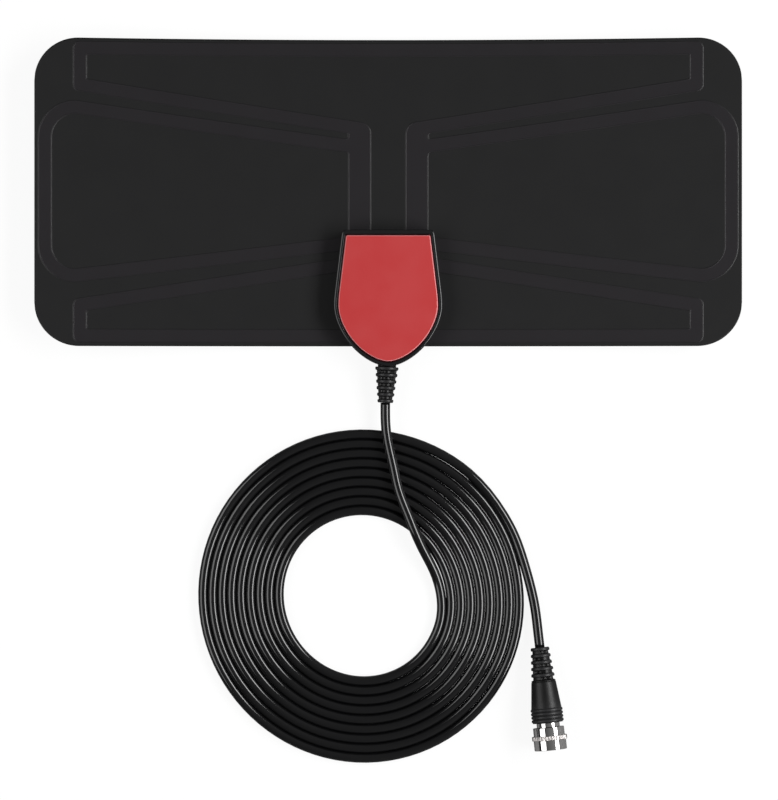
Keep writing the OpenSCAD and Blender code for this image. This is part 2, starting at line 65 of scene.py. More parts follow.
# Coaxial lead
# A thin black cable with a glossy jacket, moulded into its strain reliefs at both ends.
# It runs over its own coil to the innermost turn, and leaves from the outermost one. The
# jacket stands jacket_press proud of its nominal size all round, so that the turns touch.
cable_d, jacket_press, table_gap = 3.4, 0.015, 0.02
coil_centre, coil_drift = (-8.95, -89.77), (0.022, -0.018)
coil_r, coil_pitch = 28.51, 3.412
coil_oval, coil_oval_at = 0.5, 121
dent_depth, dent_less, dent_at, dent_width, dent_count = 0.55, 0.06, 335, 36, 8
coil_from, coil_to = 25, 324 + 8 * 360
lead_path = [
    (-1, -20.1, 4.6), (-1, -25, 4.7), (-0.6, -31, 5), (1.9, -43, 5.2), (3.7, -51, 5.2),
    (6.7, -59, 5.2), (9.1, -65, 5.2), (12.5, -72.5, 4.2), (16.3, -80, 2.6), (18.7, -88, 1.8),
    (18.85, -96.5, 1.75),
]
tail_path = [
    (41, -60, 1.75), (45, -67.5, 1.75), (48.2, -76.5, 1.75), (50.6, -85, 1.75),
    (52.4, -93.5, 2.0), (53.3, -101, 2.8), (54, -107.2, 3.4),
]


def coil_path(spacing=15):
    """Points of the coil: a flat spiral, clockwise outwards, on a slightly oval ring.

    turned is how far it has gone, in degrees. Its centre drifts a little with each turn.
    Each turn has a dent, a bell curve that is dent_at degrees on, where it leans in to the
    lead that comes down beside it, by a little less than the turn inside it."""
    turned = np.arange(coil_from, coil_to, spacing)
    angle = np.radians(-turned)
    oval = coil_oval * np.cos(2 * (angle - np.radians(coil_oval_at)))
    past = [(turned - dent_at - 360 * i) / dent_width for i in range(dent_count)]
    dent = sum((dent_depth - dent_less * i) * np.exp(-p ** 2) for i, p in enumerate(past))
    r = coil_r + coil_pitch * turned / 360 + oval - dent
    x = coil_centre[0] + coil_drift[0] * turned / 360 + r * np.cos(angle)
    y = coil_centre[1] + coil_drift[1] * turned / 360 + r * np.sin(angle)
    return np.stack([x, y, np.full_like(r, cable_d / 2 + table_gap)], axis=1)


def smooth_path(knots, per_span=4):
    """A natural cubic spline through the knots, spaced by the distance between them."""
    t = np.concatenate([[0], np.cumsum(np.linalg.norm(np.diff(knots, axis=0), axis=1))])
    h = np.diff(t)
    n = len(knots)
    a = np.zeros((n, n))
    b = np.zeros((n, 3))
    a[0, 0] = a[-1, -1] = 1
    i = np.arange(1, n - 1)
    a[i, i - 1] = h[:-1]
    a[i, i] = 2 * (h[:-1] + h[1:])
    a[i, i + 1] = h[1:]
    slope = np.diff(knots, axis=0) / h[:, None]
    b[1:-1] = 6 * np.diff(slope, axis=0)
    m = np.linalg.solve(a, b)
    f = np.tile(np.arange(per_span) / per_span, n - 1)[:, None]
    k = np.repeat(np.arange(n - 1), per_span)
    w = h[k][:, None]
    inner = ((1 - f) * knots[k] + f * knots[k + 1]
             + w ** 2 / 6 * (((1 - f) ** 3 - (1 - f)) * m[k] + (f ** 3 - f) * m[k + 1]))
    return np.vstack([inner, knots[-1]])


def surface(name, rings):
    """A closed skin over rings of points, each ring closed and the two ends fanned shut."""
    rings = np.asarray(rings, float)
    n, s, _ = rings.shape
    points = np.vstack([rings.reshape(-1, 3), rings[0].mean(0), rings[-1].mean(0)])
    i, j = np.meshgrid(np.arange(n - 1), np.arange(s), indexing="ij")
    k = (j + 1) % s
    quads = np.stack([i * s + j, i * s + k, (i + 1) * s + k, (i + 1) * s + j], -1).reshape(-1, 4)
    j = np.arange(s)
    k = (j + 1) % s
    first = np.stack([np.full(s, n * s), k, j], 1)
    last = np.stack([np.full(s, n * s + 1), (n - 1) * s + j, (n - 1) * s + k], 1)
    mesh = bpy.data.meshes.new(name)
    mesh.from_pydata(points, [], quads.tolist() + first.tolist() + last.tolist())
    work = bmesh.new()
    work.from_mesh(mesh)
    bmesh.ops.recalc_face_normals(work, faces=work.faces)
    work.to_mesh(mesh)
    work.free()
    mesh.polygons.foreach_set("use_smooth", np.ones(len(mesh.polygons), bool))
    piece = bpy.data.objects.new(name, mesh)
    bpy.context.scene.collection.objects.link(piece)
    return piece


def tube(name, path, radius, sides=28):
    """A round skin along a path: each ring lies square to the path, with one side level."""
    along = np.gradient(path, axis=0)
    along /= np.linalg.norm(along, axis=1)[:, None]
    side = np.cross(along, [0, 0, 1])
    side /= np.linalg.norm(side, axis=1)[:, None]
    up = np.cross(side, along)
    turn = np.linspace(0, 2 * np.pi, sides, endpoint=False)
    ring = np.cos(turn)[:, None] * side[:, None, :] + np.sin(turn)[:, None] * up[:, None, :]
    return surface(name, path[:, None, :] + radius * ring)


def new_finish(name, colour, rough, metal=0.0):
    """A material with one Principled shader, and the parts that a finish builds on."""
    made = bpy.data.materials.new(name)
    made.use_nodes = True
    nodes = made.node_tree.nodes
    shader = nodes["Principled BSDF"]
    shader.inputs["Base Color"].default_value = (*colour, 1)
    shader.inputs["Roughness"].default_value = rough
    shader.inputs["Metallic"].default_value = metal
    return made, nodes, made.node_tree.links, shader


def moulded_grain():
    """The fine unevenness of moulded plastic: a height, and a roughness that drifts."""
    made = bpy.data.node_groups.new("moulded_grain", "ShaderNodeTree")
    for word, value in (("Grain size", 0.5), ("Rough low", 0.3), ("Rough high", 0.4)):
        socket = made.interface.new_socket(word, in_out="INPUT", socket_type="NodeSocketFloat")
        socket.default_value = value
    for word in ("Height", "Roughness"):
        made.interface.new_socket(word, in_out="OUTPUT", socket_type="NodeSocketFloat")
    nodes, link = made.nodes, made.links.new
    into, out = nodes.new("NodeGroupInput"), nodes.new("NodeGroupOutput")
    place = nodes.new("ShaderNodeTexCoord")
    fine = nodes.new("ShaderNodeTexNoise")
    fine.inputs["Detail"].default_value = 3
    size = nodes.new("ShaderNodeMath")
    size.operation = "DIVIDE"
    size.inputs[0].default_value = 1 / mm
    link(into.outputs["Grain size"], size.inputs[1])
    link(size.outputs[0], fine.inputs["Scale"])
    link(place.outputs["Object"], fine.inputs["Vector"])
    broad = nodes.new("ShaderNodeTexNoise")
    broad.inputs["Scale"].default_value = 90
    broad.inputs["Detail"].default_value = 4
    link(place.outputs["Object"], broad.inputs["Vector"])
    drift = nodes.new("ShaderNodeMapRange")
    drift.inputs["From Min"].default_value = 0.35
    drift.inputs["From Max"].default_value = 0.65
    link(broad.outputs["Fac"], drift.inputs["Value"])
    link(into.outputs["Rough low"], drift.inputs["To Min"])
    link(into.outputs["Rough high"], drift.inputs["To Max"])
    link(fine.outputs["Fac"], out.inputs["Height"])
    link(drift.outputs["Result"], out.inputs["Roughness"])
    return made


grain = moulded_grain()


def grained(name, colour, rough, grain_mm, depth_mm, metal=0.0):
    """A finish with the moulded grain: its height in a Bump node, its drift in Roughness.

    rough is the lowest and the highest roughness, grain_mm the size of a grain."""
    made, nodes, links, shader = new_finish(name, colour, rough[0], metal)
    own = nodes.new("ShaderNodeGroup")
    own.node_tree = grain
    own.inputs["Grain size"].default_value = grain_mm
    own.inputs["Rough low"].default_value = rough[0]
    own.inputs["Rough high"].default_value = rough[1]
    bump = nodes.new("ShaderNodeBump")
    bump.inputs["Distance"].default_value = depth_mm * mm
    links.new(own.outputs["Height"], bump.inputs["Height"])
    links.new(bump.outputs["Normal"], shader.inputs["Normal"])
    links.new(own.outputs["Roughness"], shader.inputs["Roughness"])
    return made


jacket = grained("jacket", (0.004, 0.004, 0.0043), rough=(0.07, 0.12), grain_mm=1.4, depth_mm=0.004)
shift = np.array([0, edge_y, 0])
knots = np.vstack([lead_path, coil_path(), tail_path]) * mm + shift
route = smooth_path(knots)
cord = tube("lead", route, (cable_d / 2 + jacket_press) * mm)
cord.data.materials.append(jacket)
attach(cord, "antenna")
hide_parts("cord_lead", "cord_coil", "cord_tail")


def dress(made, *names):
    """Puts one finish on CAD pieces whose shape is right as it is."""
    for name in names:
        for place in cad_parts[name].material_slots:
            place.material = made


dress(jacket, "cable_stub", "plug_stub")

# Sheet
# Two black matt plastic films with a foil aerial between them, pressed together, so that
# the foil's outline stands up a little in the front film. The left and right ends curl up.
sheet_w, sheet_h, sheet_r = 250.0, 109.2, 15.5
film_t, foil_t, back_t, curl = 0.25, 0.1, 1.6, 7.4
strip_w, feed_w, feed_x, foil_margin, loop_inset, loop_r = 4.5, 7.8, 10.2, 1.4, 13.6, 13.0
# Where the strips start at the feed bar and end near the side: below the top edge, then
# above the lower edge.
upper_in, upper_out, middle_in, middle_out = 31.6, 16.6, 38.3, 24.6
side_low, slant_in, lower_in, lower_out = 25, 37.2, 30, 14.6
# The foil's step in the front film: from and to a distance off the outline, with a bead.
step_out, step_in, bead_out, bead_in, step_height, grain_share = 0.25, -0.2, 0.32, 0.05, 0.075, 0.06
film_black, foil_black, film_gap = (0.007, 0.007, 0.0072), (0.0094, 0.0083, 0.0098), 0.005
bend_r = ((sheet_w / 2) ** 2 + curl ** 2) / (2 * curl)


def foil_distance(x, y):
    """Distance in mm to the foil's outline, below 0 inside it: the least over its strips.

    A strip is a segment and a half width. A bend is a quarter of a ring."""
    x = np.abs(x)
    loop_x = sheet_w / 2 - loop_inset - strip_w / 2
    side_x = sheet_w / 2 - foil_margin - strip_w / 2
    r = loop_r - strip_w / 2
    top, low = sheet_h - foil_margin - strip_w / 2, foil_margin + strip_w / 2
    up_in, up_out = sheet_h - upper_in, sheet_h - upper_out
    mid_in, mid_out = sheet_h - middle_in, sheet_h - middle_out
    strips = [
        ((-1, top), (loop_x, top), strip_w), ((loop_x, top), (loop_x, up_out), strip_w),
        ((loop_x, up_out), (feed_x, up_in), strip_w),
        ((side_x, side_low + r), (side_x, mid_out - r), strip_w),
        ((side_x - r, mid_out), (feed_x, mid_in), strip_w),
        ((side_x - r, side_low), (feed_x, slant_in), strip_w),
        ((feed_x, lower_in), (loop_x, lower_out), strip_w),
        ((loop_x, lower_out), (loop_x, low), strip_w), ((-1, low), (loop_x, low), strip_w),
        ((feed_x, lower_in), (feed_x, up_in - (feed_w - strip_w) / 2), feed_w),
    ]
    least = np.full(x.shape, 1e3)
    for a, b, w in strips:
        dx, dy = b[0] - a[0], b[1] - a[1]
        t = np.clip(((x - a[0]) * dx + (y - a[1]) * dy) / (dx * dx + dy * dy), 0, 1)
        least = np.minimum(least, np.hypot(x - a[0] - t * dx, y - a[1] - t * dy) - w / 2)
    for cy, s in ((side_low + r, -1), (mid_out - r, 1)):
        bend = np.abs(np.hypot(x - side_x + r, y - cy) - r) - strip_w / 2
        inside = (x > side_x - r) & (s * (y - cy) > 0)
        least = np.where(inside, np.minimum(least, bend), least)
    return least


def sheet_grid(z0, across, down, end_power=1.25, edge_share=0.25):
    """A rectangle of points cut to the rounded corners and bent about a line along Y.

    z0 is its height at the middle. Columns crowd towards the ends by end_power, and rows
    towards the edges by edge_share."""
    u = np.linspace(-1, 1, across)
    x = sheet_w / 2 * np.sign(u) * (1 - (1 - np.abs(u)) ** end_power)
    past = np.clip(np.abs(x) - (sheet_w / 2 - sheet_r), 0, sheet_r)
    cut = sheet_r - np.sqrt(sheet_r ** 2 - past ** 2)
    v = (1 - np.cos(np.linspace(0, np.pi, down))) / 2 * edge_share
    v = v + np.linspace(0, 1, down) * (1 - edge_share)
    x, v = np.meshgrid(x, v, indexing="ij")
    y = cut[:, None] + v * (sheet_h - 2 * cut[:, None])
    centre = back_t + bend_r
    z = centre - np.sqrt((centre - z0) ** 2 - x ** 2)
    return x, y, z


def film(name, z_low, z_high, across=300, down=110):
    """A thin closed sheet: the grid at two heights, and a wall along the edge."""
    tops = sheet_grid(z_high, across, down)
    lows = sheet_grid(z_low, across, down)
    points = np.vstack([np.stack(g, -1).reshape(-1, 3) for g in (tops, lows)])
    n = across * down
    index = np.arange(n).reshape(across, down)
    a, b = index[:-1, :-1].ravel(), index[1:, :-1].ravel()
    c, d = index[1:, 1:].ravel(), index[:-1, 1:].ravel()
    rim = np.concatenate([index[:, 0], index[-1, 1:], index[-2::-1, -1], index[0, -2:0:-1]])
    after = np.roll(rim, -1)
    quads = np.vstack([np.stack([a, b, c, d], 1), np.stack([a, d, c, b], 1) + n,
                       np.stack([rim, rim + n, after + n, after], 1)])
    mesh = bpy.data.meshes.new(name)
    mesh.from_pydata(points * mm + shift, [], quads.tolist())
    smooth = np.arange(len(quads)) < 2 * len(a)
    mesh.polygons.foreach_set("use_smooth", smooth)
    mesh.attributes.new("foil_edge", "FLOAT", "POINT")
    edge = foil_distance(points[:, 0], points[:, 1])
    mesh.attributes["foil_edge"].data.foreach_set("value", edge.astype(np.float32))
    piece = bpy.data.objects.new(name, mesh)
    bpy.context.scene.collection.objects.link(piece)
    return piece


def film_finish():
    """Matt black film. The foil lifts it by step_height over a soft step, with a bead of
    the same height on its outline, and shows through as a trace of colour."""
    made, nodes, links, shader = new_finish("matt_film", film_black, 0.46)
    shader.inputs["Specular IOR Level"].default_value = 0.25
    edge = nodes.new("ShaderNodeAttribute")
    edge.attribute_name = "foil_edge"
    lift = nodes.new("ShaderNodeMapRange")
    lift.interpolation_type = "SMOOTHSTEP"
    lift.inputs["From Min"].default_value = step_out
    lift.inputs["From Max"].default_value = step_in
    links.new(edge.outputs["Fac"], lift.inputs["Value"])
    off = nodes.new("ShaderNodeMath")
    off.operation = "ABSOLUTE"
    links.new(edge.outputs["Fac"], off.inputs[0])
    bead = nodes.new("ShaderNodeMapRange")
    bead.interpolation_type = "SMOOTHSTEP"
    bead.inputs["From Min"].default_value = bead_out
    bead.inputs["From Max"].default_value = bead_in
    links.new(off.outputs[0], bead.inputs["Value"])
    raised = nodes.new("ShaderNodeMath")
    raised.operation = "ADD"
    links.new(lift.outputs["Result"], raised.inputs[0])
    links.new(bead.outputs["Result"], raised.inputs[1])
    own = nodes.new("ShaderNodeGroup")
    own.node_tree = grain
    own.inputs["Grain size"].default_value = 0.35
    own.inputs["Rough low"].default_value = 0.45
    own.inputs["Rough high"].default_value = 0.47
    fine = nodes.new("ShaderNodeMath")
    fine.operation = "MULTIPLY_ADD"
    fine.inputs[1].default_value = grain_share
    links.new(own.outputs["Height"], fine.inputs[0])
    links.new(raised.outputs[0], fine.inputs[2])
    bump = nodes.new("ShaderNodeBump")
    bump.inputs["Distance"].default_value = step_height * mm
    links.new(fine.outputs[0], bump.inputs["Height"])
    links.new(bump.outputs["Normal"], shader.inputs["Normal"])
    links.new(own.outputs["Roughness"], shader.inputs["Roughness"])
    tint = nodes.new("ShaderNodeMix")
    tint.data_type = "RGBA"
    tint.inputs["A"].default_value = (*film_black, 1)
    tint.inputs["B"].default_value = (*foil_black, 1)
    links.new(lift.outputs["Result"], tint.inputs["Factor"])
    links.new(tint.outputs["Result"], shader.inputs["Base Color"])
    return made


front = film("front_sheet", back_t + film_t + film_gap, back_t + 2 * film_t + foil_t / 2)
front.data.materials.append(film_finish())
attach(front, "antenna")
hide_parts("front_film")
dress(grained("back_film_black", (0.02, 0.02, 0.021), rough=(0.45, 0.55), grain_mm=0.4,
              depth_mm=0.004), "back_film")
dress(grained("foil_bright", (0.8, 0.79, 0.77), rough=(0.25, 0.4), grain_mm=0.6,
              depth_mm=0.01, metal=1), "foil_loops")

# Housing
# A shield-shaped box in two glossy black halves, clipped together through holes in the
# sheet. The front half has a rounded rim and a recess in which the red plate is bonded.
shell_w, shell_top_w, shell_l = 38.7, 32.8, 48.4
belly_h, shoulder_r, shell_drop = 21.2, 45.0, 7.2
rim_h, rim_r, wall_t, roof_t, rim_w, wall_draft = 9.0, 0.7, 1.4, 1.0, 1.3, 0.05
cover_t, cover_bevel, cover_groove, rim_top_w, rim_low_w = 1.6, 0.25, 0.5, 1.65, 1.3
corner_r, corner_shrink, corner_least, oval_power = 1.9, 0.75, 0.3, 1.7
rim_soft, rim_lean = 0.18, (1, 0.7, 0.35)


def shield(side=0.0, top=0.0, low=0.0):
    """The housing's outline, moved inwards: an oval below, then sides that lean in."""
    a, b = shell_w / 2 - side, belly_h - low
    side_h, over = shell_l - belly_h, shoulder_r - (shell_w - shell_top_w) / 2
    turn = np.arcsin(shoulder_r / np.hypot(side_h, over)) - np.arctan2(over, side_h)
    h, r = side_h - top, shoulder_r - side
    c = max(corner_r - corner_shrink * side, corner_least)
    cx = shell_w / 2 - shoulder_r
    ccx = cx + (r - c - (h - c) * np.sin(turn)) / np.cos(turn)
    t = np.linspace(0, turn, 16)
    end = np.array([ccx + c * np.cos(turn), h - c + c * np.sin(turn)])
    bend = np.stack([cx + r * np.cos(t), r * np.sin(t)], 1)
    f = np.linspace(0, 1, 20, endpoint=False)[1:, None]
    bowed = np.vstack([bend, bend[-1] * (1 - f) + end * f])
    t = np.linspace(turn, np.pi / 2, 12)
    corner = np.stack([ccx + c * np.cos(t), h - c + c * np.sin(t)], 1)
    right = np.vstack([bowed, corner])
    t = np.radians(np.arange(182, 360, 2))
    oval = np.stack([np.sign(np.cos(t)) * a * np.abs(np.cos(t)) ** (2 / oval_power),
                     -b * np.abs(np.sin(t)) ** (2 / oval_power)], 1)
    line = np.vstack([right, right[::-1] * (-1, 1), oval])
    return line + (0, belly_h - shell_drop)


def moulding(name, profile, marks=None):
    """A closed piece whose section is carried round the shield: (side, top, low, height).

    marks has a number for each point: 1 for a painted highlight on an edge, -1 for painted shade
    down in a groove."""
    count = len(shield())
    rings = [np.column_stack([shield(*p[:3]), np.full(count, p[3])]) for p in profile]
    piece = surface(name, np.array(rings) * mm + shift)
    marks = np.repeat(marks or [0] * len(profile), count)
    edge = piece.data.attributes.new("painted_light", "FLOAT", "POINT")
    edge.data.foreach_set("value", np.append(marks, [0, 0]).astype(np.float32))
    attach(piece, "antenna")
    return piece


def rounding(at, radius, z, scale):
    """Profile points of an outer edge's quarter round that starts at the wall.

    scale is its width at the side, top and low end, as a share of the radius."""
    t = np.radians(np.linspace(0, 90, 8))
    d = radius * (1 - np.cos(t))
    return [(*(a + k * w for a, w in zip(at, scale)), z - radius * (1 - s))
            for k, s in zip(d, np.sin(t))]


gloss_black = grained("gloss_black", (0.006, 0.006, 0.0065), rough=(0.05, 0.08), grain_mm=2.2,
                      depth_mm=0.006)
floor_z = rim_h - roof_t
rim_in = (rim_w, rim_top_w, rim_low_w)
rim = [(*(w - out * rim_soft for w in rim_in), rim_h - down * rim_soft)
       for out, down in ((1, 0), (0.3, 0.3), (0, 1))] + [(*rim_in, floor_z)]
front_shell = moulding("front_shell_skin", [
    (wall_t, wall_t, wall_t, floor_z - roof_t), (wall_t, wall_t, wall_t, back_t), (0, 0, 0, back_t),
    *rounding((wall_draft, wall_draft, wall_draft), rim_r, rim_h, rim_lean), *rim])
front_shell.data.materials.append(gloss_black)
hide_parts("front_shell")
dress(gloss_black, "back_shell")

# Cover plate
# A red satin plate, bonded into the recess of the housing with a narrow groove all round.
# Its top edge has a bevel, painted a lighter pink as a highlight, and the plate's side down in the
# groove is painted dark red as shade.
# bevel_highlight_red paints a highlight along the bevel, and groove_shade_red paints shade on the
# plate's side in the groove.
plate_red, bevel_highlight_red = (0.383, 0.0285, 0.0295), (0.62, 0.22, 0.23)
groove_shade_red = (0.035, 0.002, 0.003)
satin_red = grained("satin_red", plate_red, rough=(0.34, 0.44), grain_mm=0.5, depth_mm=0.006)
nodes, links = satin_red.node_tree.nodes, satin_red.node_tree.links
mark = nodes.new("ShaderNodeAttribute")
mark.attribute_name = "painted_light"
bevel_highlight_tint = nodes.new("ShaderNodeMix")
bevel_highlight_tint.data_type = "RGBA"
bevel_highlight_tint.inputs["A"].default_value = (*plate_red, 1)
bevel_highlight_tint.inputs["B"].default_value = (*bevel_highlight_red, 1)
links.new(mark.outputs["Fac"], bevel_highlight_tint.inputs["Factor"])
sunk = nodes.new("ShaderNodeMath")
sunk.operation = "MULTIPLY"
sunk.inputs[1].default_value = -1
sunk.use_clamp = True
links.new(mark.outputs["Fac"], sunk.inputs[0])
groove_shade_tint = nodes.new("ShaderNodeMix")
groove_shade_tint.data_type = "RGBA"
groove_shade_tint.inputs["B"].default_value = (*groove_shade_red, 1)
links.new(sunk.outputs[0], groove_shade_tint.inputs["Factor"])
links.new(bevel_highlight_tint.outputs["Result"], groove_shade_tint.inputs["A"])
links.new(groove_shade_tint.outputs["Result"], nodes["Principled BSDF"].inputs["Base Color"])
cover_in = tuple(w + cover_groove for w in rim_in)
top_z = floor_z + cover_t
# Each point of the plate's profile: how far in from the groove, its height, and its mark: 1 for the
# painted highlight, -1 for the painted shade.
cover_profile = [
    (-0.46, floor_z, -1), (-0.45, floor_z + 0.7, -1), (-0.02, top_z - cover_bevel - 0.08, -1),
    (0.03, top_z - cover_bevel, 1), (cover_bevel - 0.04, top_z - 0.04, 1),
    (cover_bevel + 0.04, top_z, 0), (cover_bevel + 0.14, top_z, 0), (1.5, top_z, 0)]
cover = moulding("red_plate", [(*(w + by for w in cover_in), z) for by, z, _ in cover_profile],
                 [painted_mark for *_, painted_mark in cover_profile])
cover.data.materials.append(satin_red)
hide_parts("cover_plate")

# Strain relief at the housing
# Soft black plastic moulded on the lead: a neck that the shells grip, and rings on a
# tapering sleeve with windows between them that show the lead.
ring_count, ring_pitch, ring_t, bridge_t = 6, 2.3, 1.2, 0.85
relief_d, relief_end_d, neck_d, relief_gap, neck_in = 8.4, 5.8, 6.5, 0.2, 3.4
lead_x, cable_z, cable_lean = -0.43, 4.6, 2.6
ring_depth, ring_power, ring_over, sleeve_in, sleeve_gap = 0.5, 0.4, 0.06, 0.3, 0.04
window_early, window_open, window_shut, window_soft = 0.05, 0.18, 0.23, 0.12


def step(x, low, high):
    """A smooth step from 0 at low to 1 at high."""
    t = np.clip((x - low) / (high - low), 0, 1)
    return t * t * (3 - 2 * t)


def relief_radius(turn, z, d0, d1, faces):
    """Radius of the ringed sleeve at each turn angle and height.

    Rings are rounded bumps on a taper. In each gap the sleeve drops to the lead where
    the distance from its middle plane is less than the bridges leave. faces holds the
    windows' turn angle in degrees, and the gaps in which they face a quarter turn on."""
    gap = np.floor(z / ring_pitch)
    within = z - gap * ring_pitch
    taper = d0 / 2 + (d1 - d0) / 2 * z / ((ring_count - 1) * ring_pitch)
    bump = np.clip(1 - ((within - ring_t / 2) / (ring_t / 2 + ring_over)) ** 2, 0, 1) ** ring_power
    r = taper - ring_depth + ring_depth * bump
    way = np.radians(np.where(np.isin(gap, faces[1]), faces[0] + 90, faces[0]))
    off = np.abs(r * np.sin(turn - way))
    half = taper - sleeve_in - bridge_t
    opens = step(within, ring_t - window_early, ring_t + window_open)
    open_z = opens * (1 - step(within, ring_pitch - window_shut, ring_pitch))
    cut = (1 - step(off, half - window_soft, half + window_soft)) * open_z * (gap < ring_count - 1)
    return r + (cable_d / 2 + sleeve_gap - r) * cut


def lathe(name, heights, radius, place, sides=96, beside=24):
    """A skin round an axis: radius(turn, z) at each height, put in place by a function.

    It writes deep: how far each point lies below the highest within beside rows of it, in mm. The
    soft finish paints shade into gaps and windows by it."""
    turn, z = np.meshgrid(np.linspace(0, 2 * np.pi, sides, endpoint=False), heights)
    r = radius(turn, z)
    piece = surface(name, place(r * np.cos(turn), r * np.sin(turn), z))
    wide = np.pad(r, ((beside, beside), (0, 0)), "edge")
    outer = np.lib.stride_tricks.sliding_window_view(wide, 2 * beside + 1, 0).max(-1)
    shade_depth = piece.data.attributes.new("shade_depth", "FLOAT", "POINT")
    shade_depth.data.foreach_set("value", np.append((outer - r).ravel(), [0, 0]).astype(np.float32))
    return piece


def on_lead(x, y, z):
    """From the lead's own axis, pointing out of the housing, to the part's frame."""
    lean = np.radians(cable_lean)
    px = x * np.cos(lean) - z * np.sin(lean) + lead_x
    py = -x * np.sin(lean) - z * np.cos(lean) - shell_drop
    return np.stack([px, py, y + cable_z], -1) * mm + shift


def boot_radius(turn, z):
    """The neck, then the ringed part."""
    ringed = relief_radius(turn, np.clip(z - relief_gap, 0, None), relief_d, relief_end_d, (90, []))
    return np.where(z < relief_gap, neck_d / 2, ringed)


# The soft finish's colour darkens towards painted_gap_shade by how deep each point lies in a ring
# gap or window: painted shade.
ring_black, painted_gap_shade = (0.013, 0.013, 0.0137), (0.0025, 0.0025, 0.0025)
soft_black = grained("soft_black", ring_black, rough=(0.36, 0.48), grain_mm=0.5, depth_mm=0.02)
nodes, links = soft_black.node_tree.nodes, soft_black.node_tree.links
nodes["Principled BSDF"].inputs["Specular IOR Level"].default_value = 0.28
below = nodes.new("ShaderNodeAttribute")
below.attribute_name = "shade_depth"
shaded = nodes.new("ShaderNodeMapRange")
shaded.inputs["From Min"].default_value = 0.1
shaded.inputs["From Max"].default_value = 0.6
links.new(below.outputs["Fac"], shaded.inputs["Value"])
gap_shade_tint = nodes.new("ShaderNodeMix")
gap_shade_tint.data_type = "RGBA"
gap_shade_tint.inputs["A"].default_value = (*ring_black, 1)
gap_shade_tint.inputs["B"].default_value = (*painted_gap_shade, 1)
links.new(shaded.outputs["Result"], gap_shade_tint.inputs["Factor"])
links.new(gap_shade_tint.outputs["Result"], nodes["Principled BSDF"].inputs["Base Color"])
relief_end = relief_gap + (ring_count - 1) * ring_pitch + ring_t
boot_z = np.concatenate([np.linspace(-neck_in, relief_gap - 0.02, 8),
                         np.arange(relief_gap, relief_end - 0.02, 0.07), [relief_end]])
boot = lathe("relief_at_housing", boot_z, boot_radius, on_lead)
boot.data.materials.append(soft_black)
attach(boot, "antenna")
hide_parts("cable_boot")

# Plug grip
# The same soft plastic moulded over the plug's sleeve: a ringed strain relief whose
# windows alternate, a body that widens towards the nut, and a ribbed collar.
grip_end_d, grip_ring_d, grip_d, grip_front_d = 6.8, 8.8, 8.7, 10.8
grip_l, collar_d, collar_l, rib_count, rib_depth = 9.6, 11.4, 5.0, 4, 0.42
rib_middle, rib_width, shoulder_in, shoulder_l = 0.82, 0.72, 0.25, 0.3
grip_back, waist_in = 1.8, 0.4
grip_start = ring_count * ring_pitch - grip_back
collar_start = grip_start + grip_l
neck_start = collar_start + collar_l
plug_heading = np.radians(-84.2)
plug_tip = np.arcsin((collar_d - grip_end_d) / 2 / collar_start)
plug_at = np.array([*tail_path[-1][:2], grip_end_d / 2 * np.cos(plug_tip) + table_gap])
plug_axis = np.array([np.cos(plug_tip) * np.cos(plug_heading),
                      np.cos(plug_tip) * np.sin(plug_heading), np.sin(plug_tip)])
plug_side = np.array([np.sin(plug_heading), -np.cos(plug_heading), 0]) * -1
plug_up = np.cross(plug_axis, plug_side) * -1
window_turn = 135


def on_plug(x, y, z):
    """From the plug's own axis, pointing to the nut, to the part's frame. +y is up."""
    across = x[..., None] * plug_side + y[..., None] * plug_up
    return (plug_at + across + z[..., None] * plug_axis) * mm + shift


def grip_radius(turn, z):
    """The ringed part up to the body, the tapering body, then the collar's four ribs."""
    end = (ring_count - 1) * ring_pitch + ring_t
    ringed = relief_radius(turn, np.clip(end - z, 0, None), grip_ring_d, grip_end_d,
                           (window_turn, [1, 3]))
    body = grip_d / 2 + (grip_front_d - grip_d) / 2 * (z - grip_start) / grip_l
    body = body - shoulder_in * np.clip(1 - (z - grip_start) / shoulder_l, 0, 1) ** 2
    rib = (z - collar_start) / (collar_l / rib_count)
    off = 2 * (rib - np.floor(rib)) - rib_middle
    rib = np.clip(1 - off ** 2 / rib_width, 0, 1) ** ring_power
    collar = collar_d / 2 - rib_depth + rib_depth * rib
    return np.where(z < grip_start, np.where(z < end, ringed, grip_ring_d / 2 - waist_in),
                    np.where(z < collar_start, body, collar))


grip_z = np.concatenate([[0], np.arange(0.05, grip_start - 0.01, 0.07),
                         grip_start + np.array([0, 0.08, 0.16, 0.3]),
                         np.linspace(grip_start + 0.6, collar_start - 0.02, 24),
                         np.arange(collar_start, neck_start, 0.06), [neck_start]])
grip = lathe("plug_grip_skin", grip_z, grip_radius, on_plug)
grip.data.materials.append(soft_black)
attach(grip, "antenna")
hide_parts("plug_grip")

# Plug metal
# Nickel-plated brass. The body's neck shows behind the nut; the nut is turned in two
# steps with a knurled ridge between them, and spins on the body's flanged post.
neck_l, neck_metal_d = 1.6, 8.2
nut_rear_d, nut_front_d, ridge_d = 11.0, 11.5, 12.4
nut_rear_l, ridge_l, nut_front_l, thread_d = 3.0, 1.5, 3.5, 8.9
knurl_count, knurl_depth, nut_wall, post_d, flange_l, run = 36, 0.3, 0.8, 5.8, 1.2, 0.06
ferrule_in, sleeve_r, bore_r, crimp_r, crimp_l, post_gap, chamfer = 2, 3.2, 1.5, 1.7, 3, 0.08, 0.3
thread_pitch, thread_depth, thread_in, thread_points = 0.794, 0.32, 0.35, 14
nickel_grey, ridge_shade_grey = (0.70, 0.69, 0.68), (0.42, 0.40, 0.39)
nut_start = neck_start + neck_l
ridge_start = nut_start + nut_rear_l
front_start = ridge_start + ridge_l
plug_l = front_start + nut_front_l


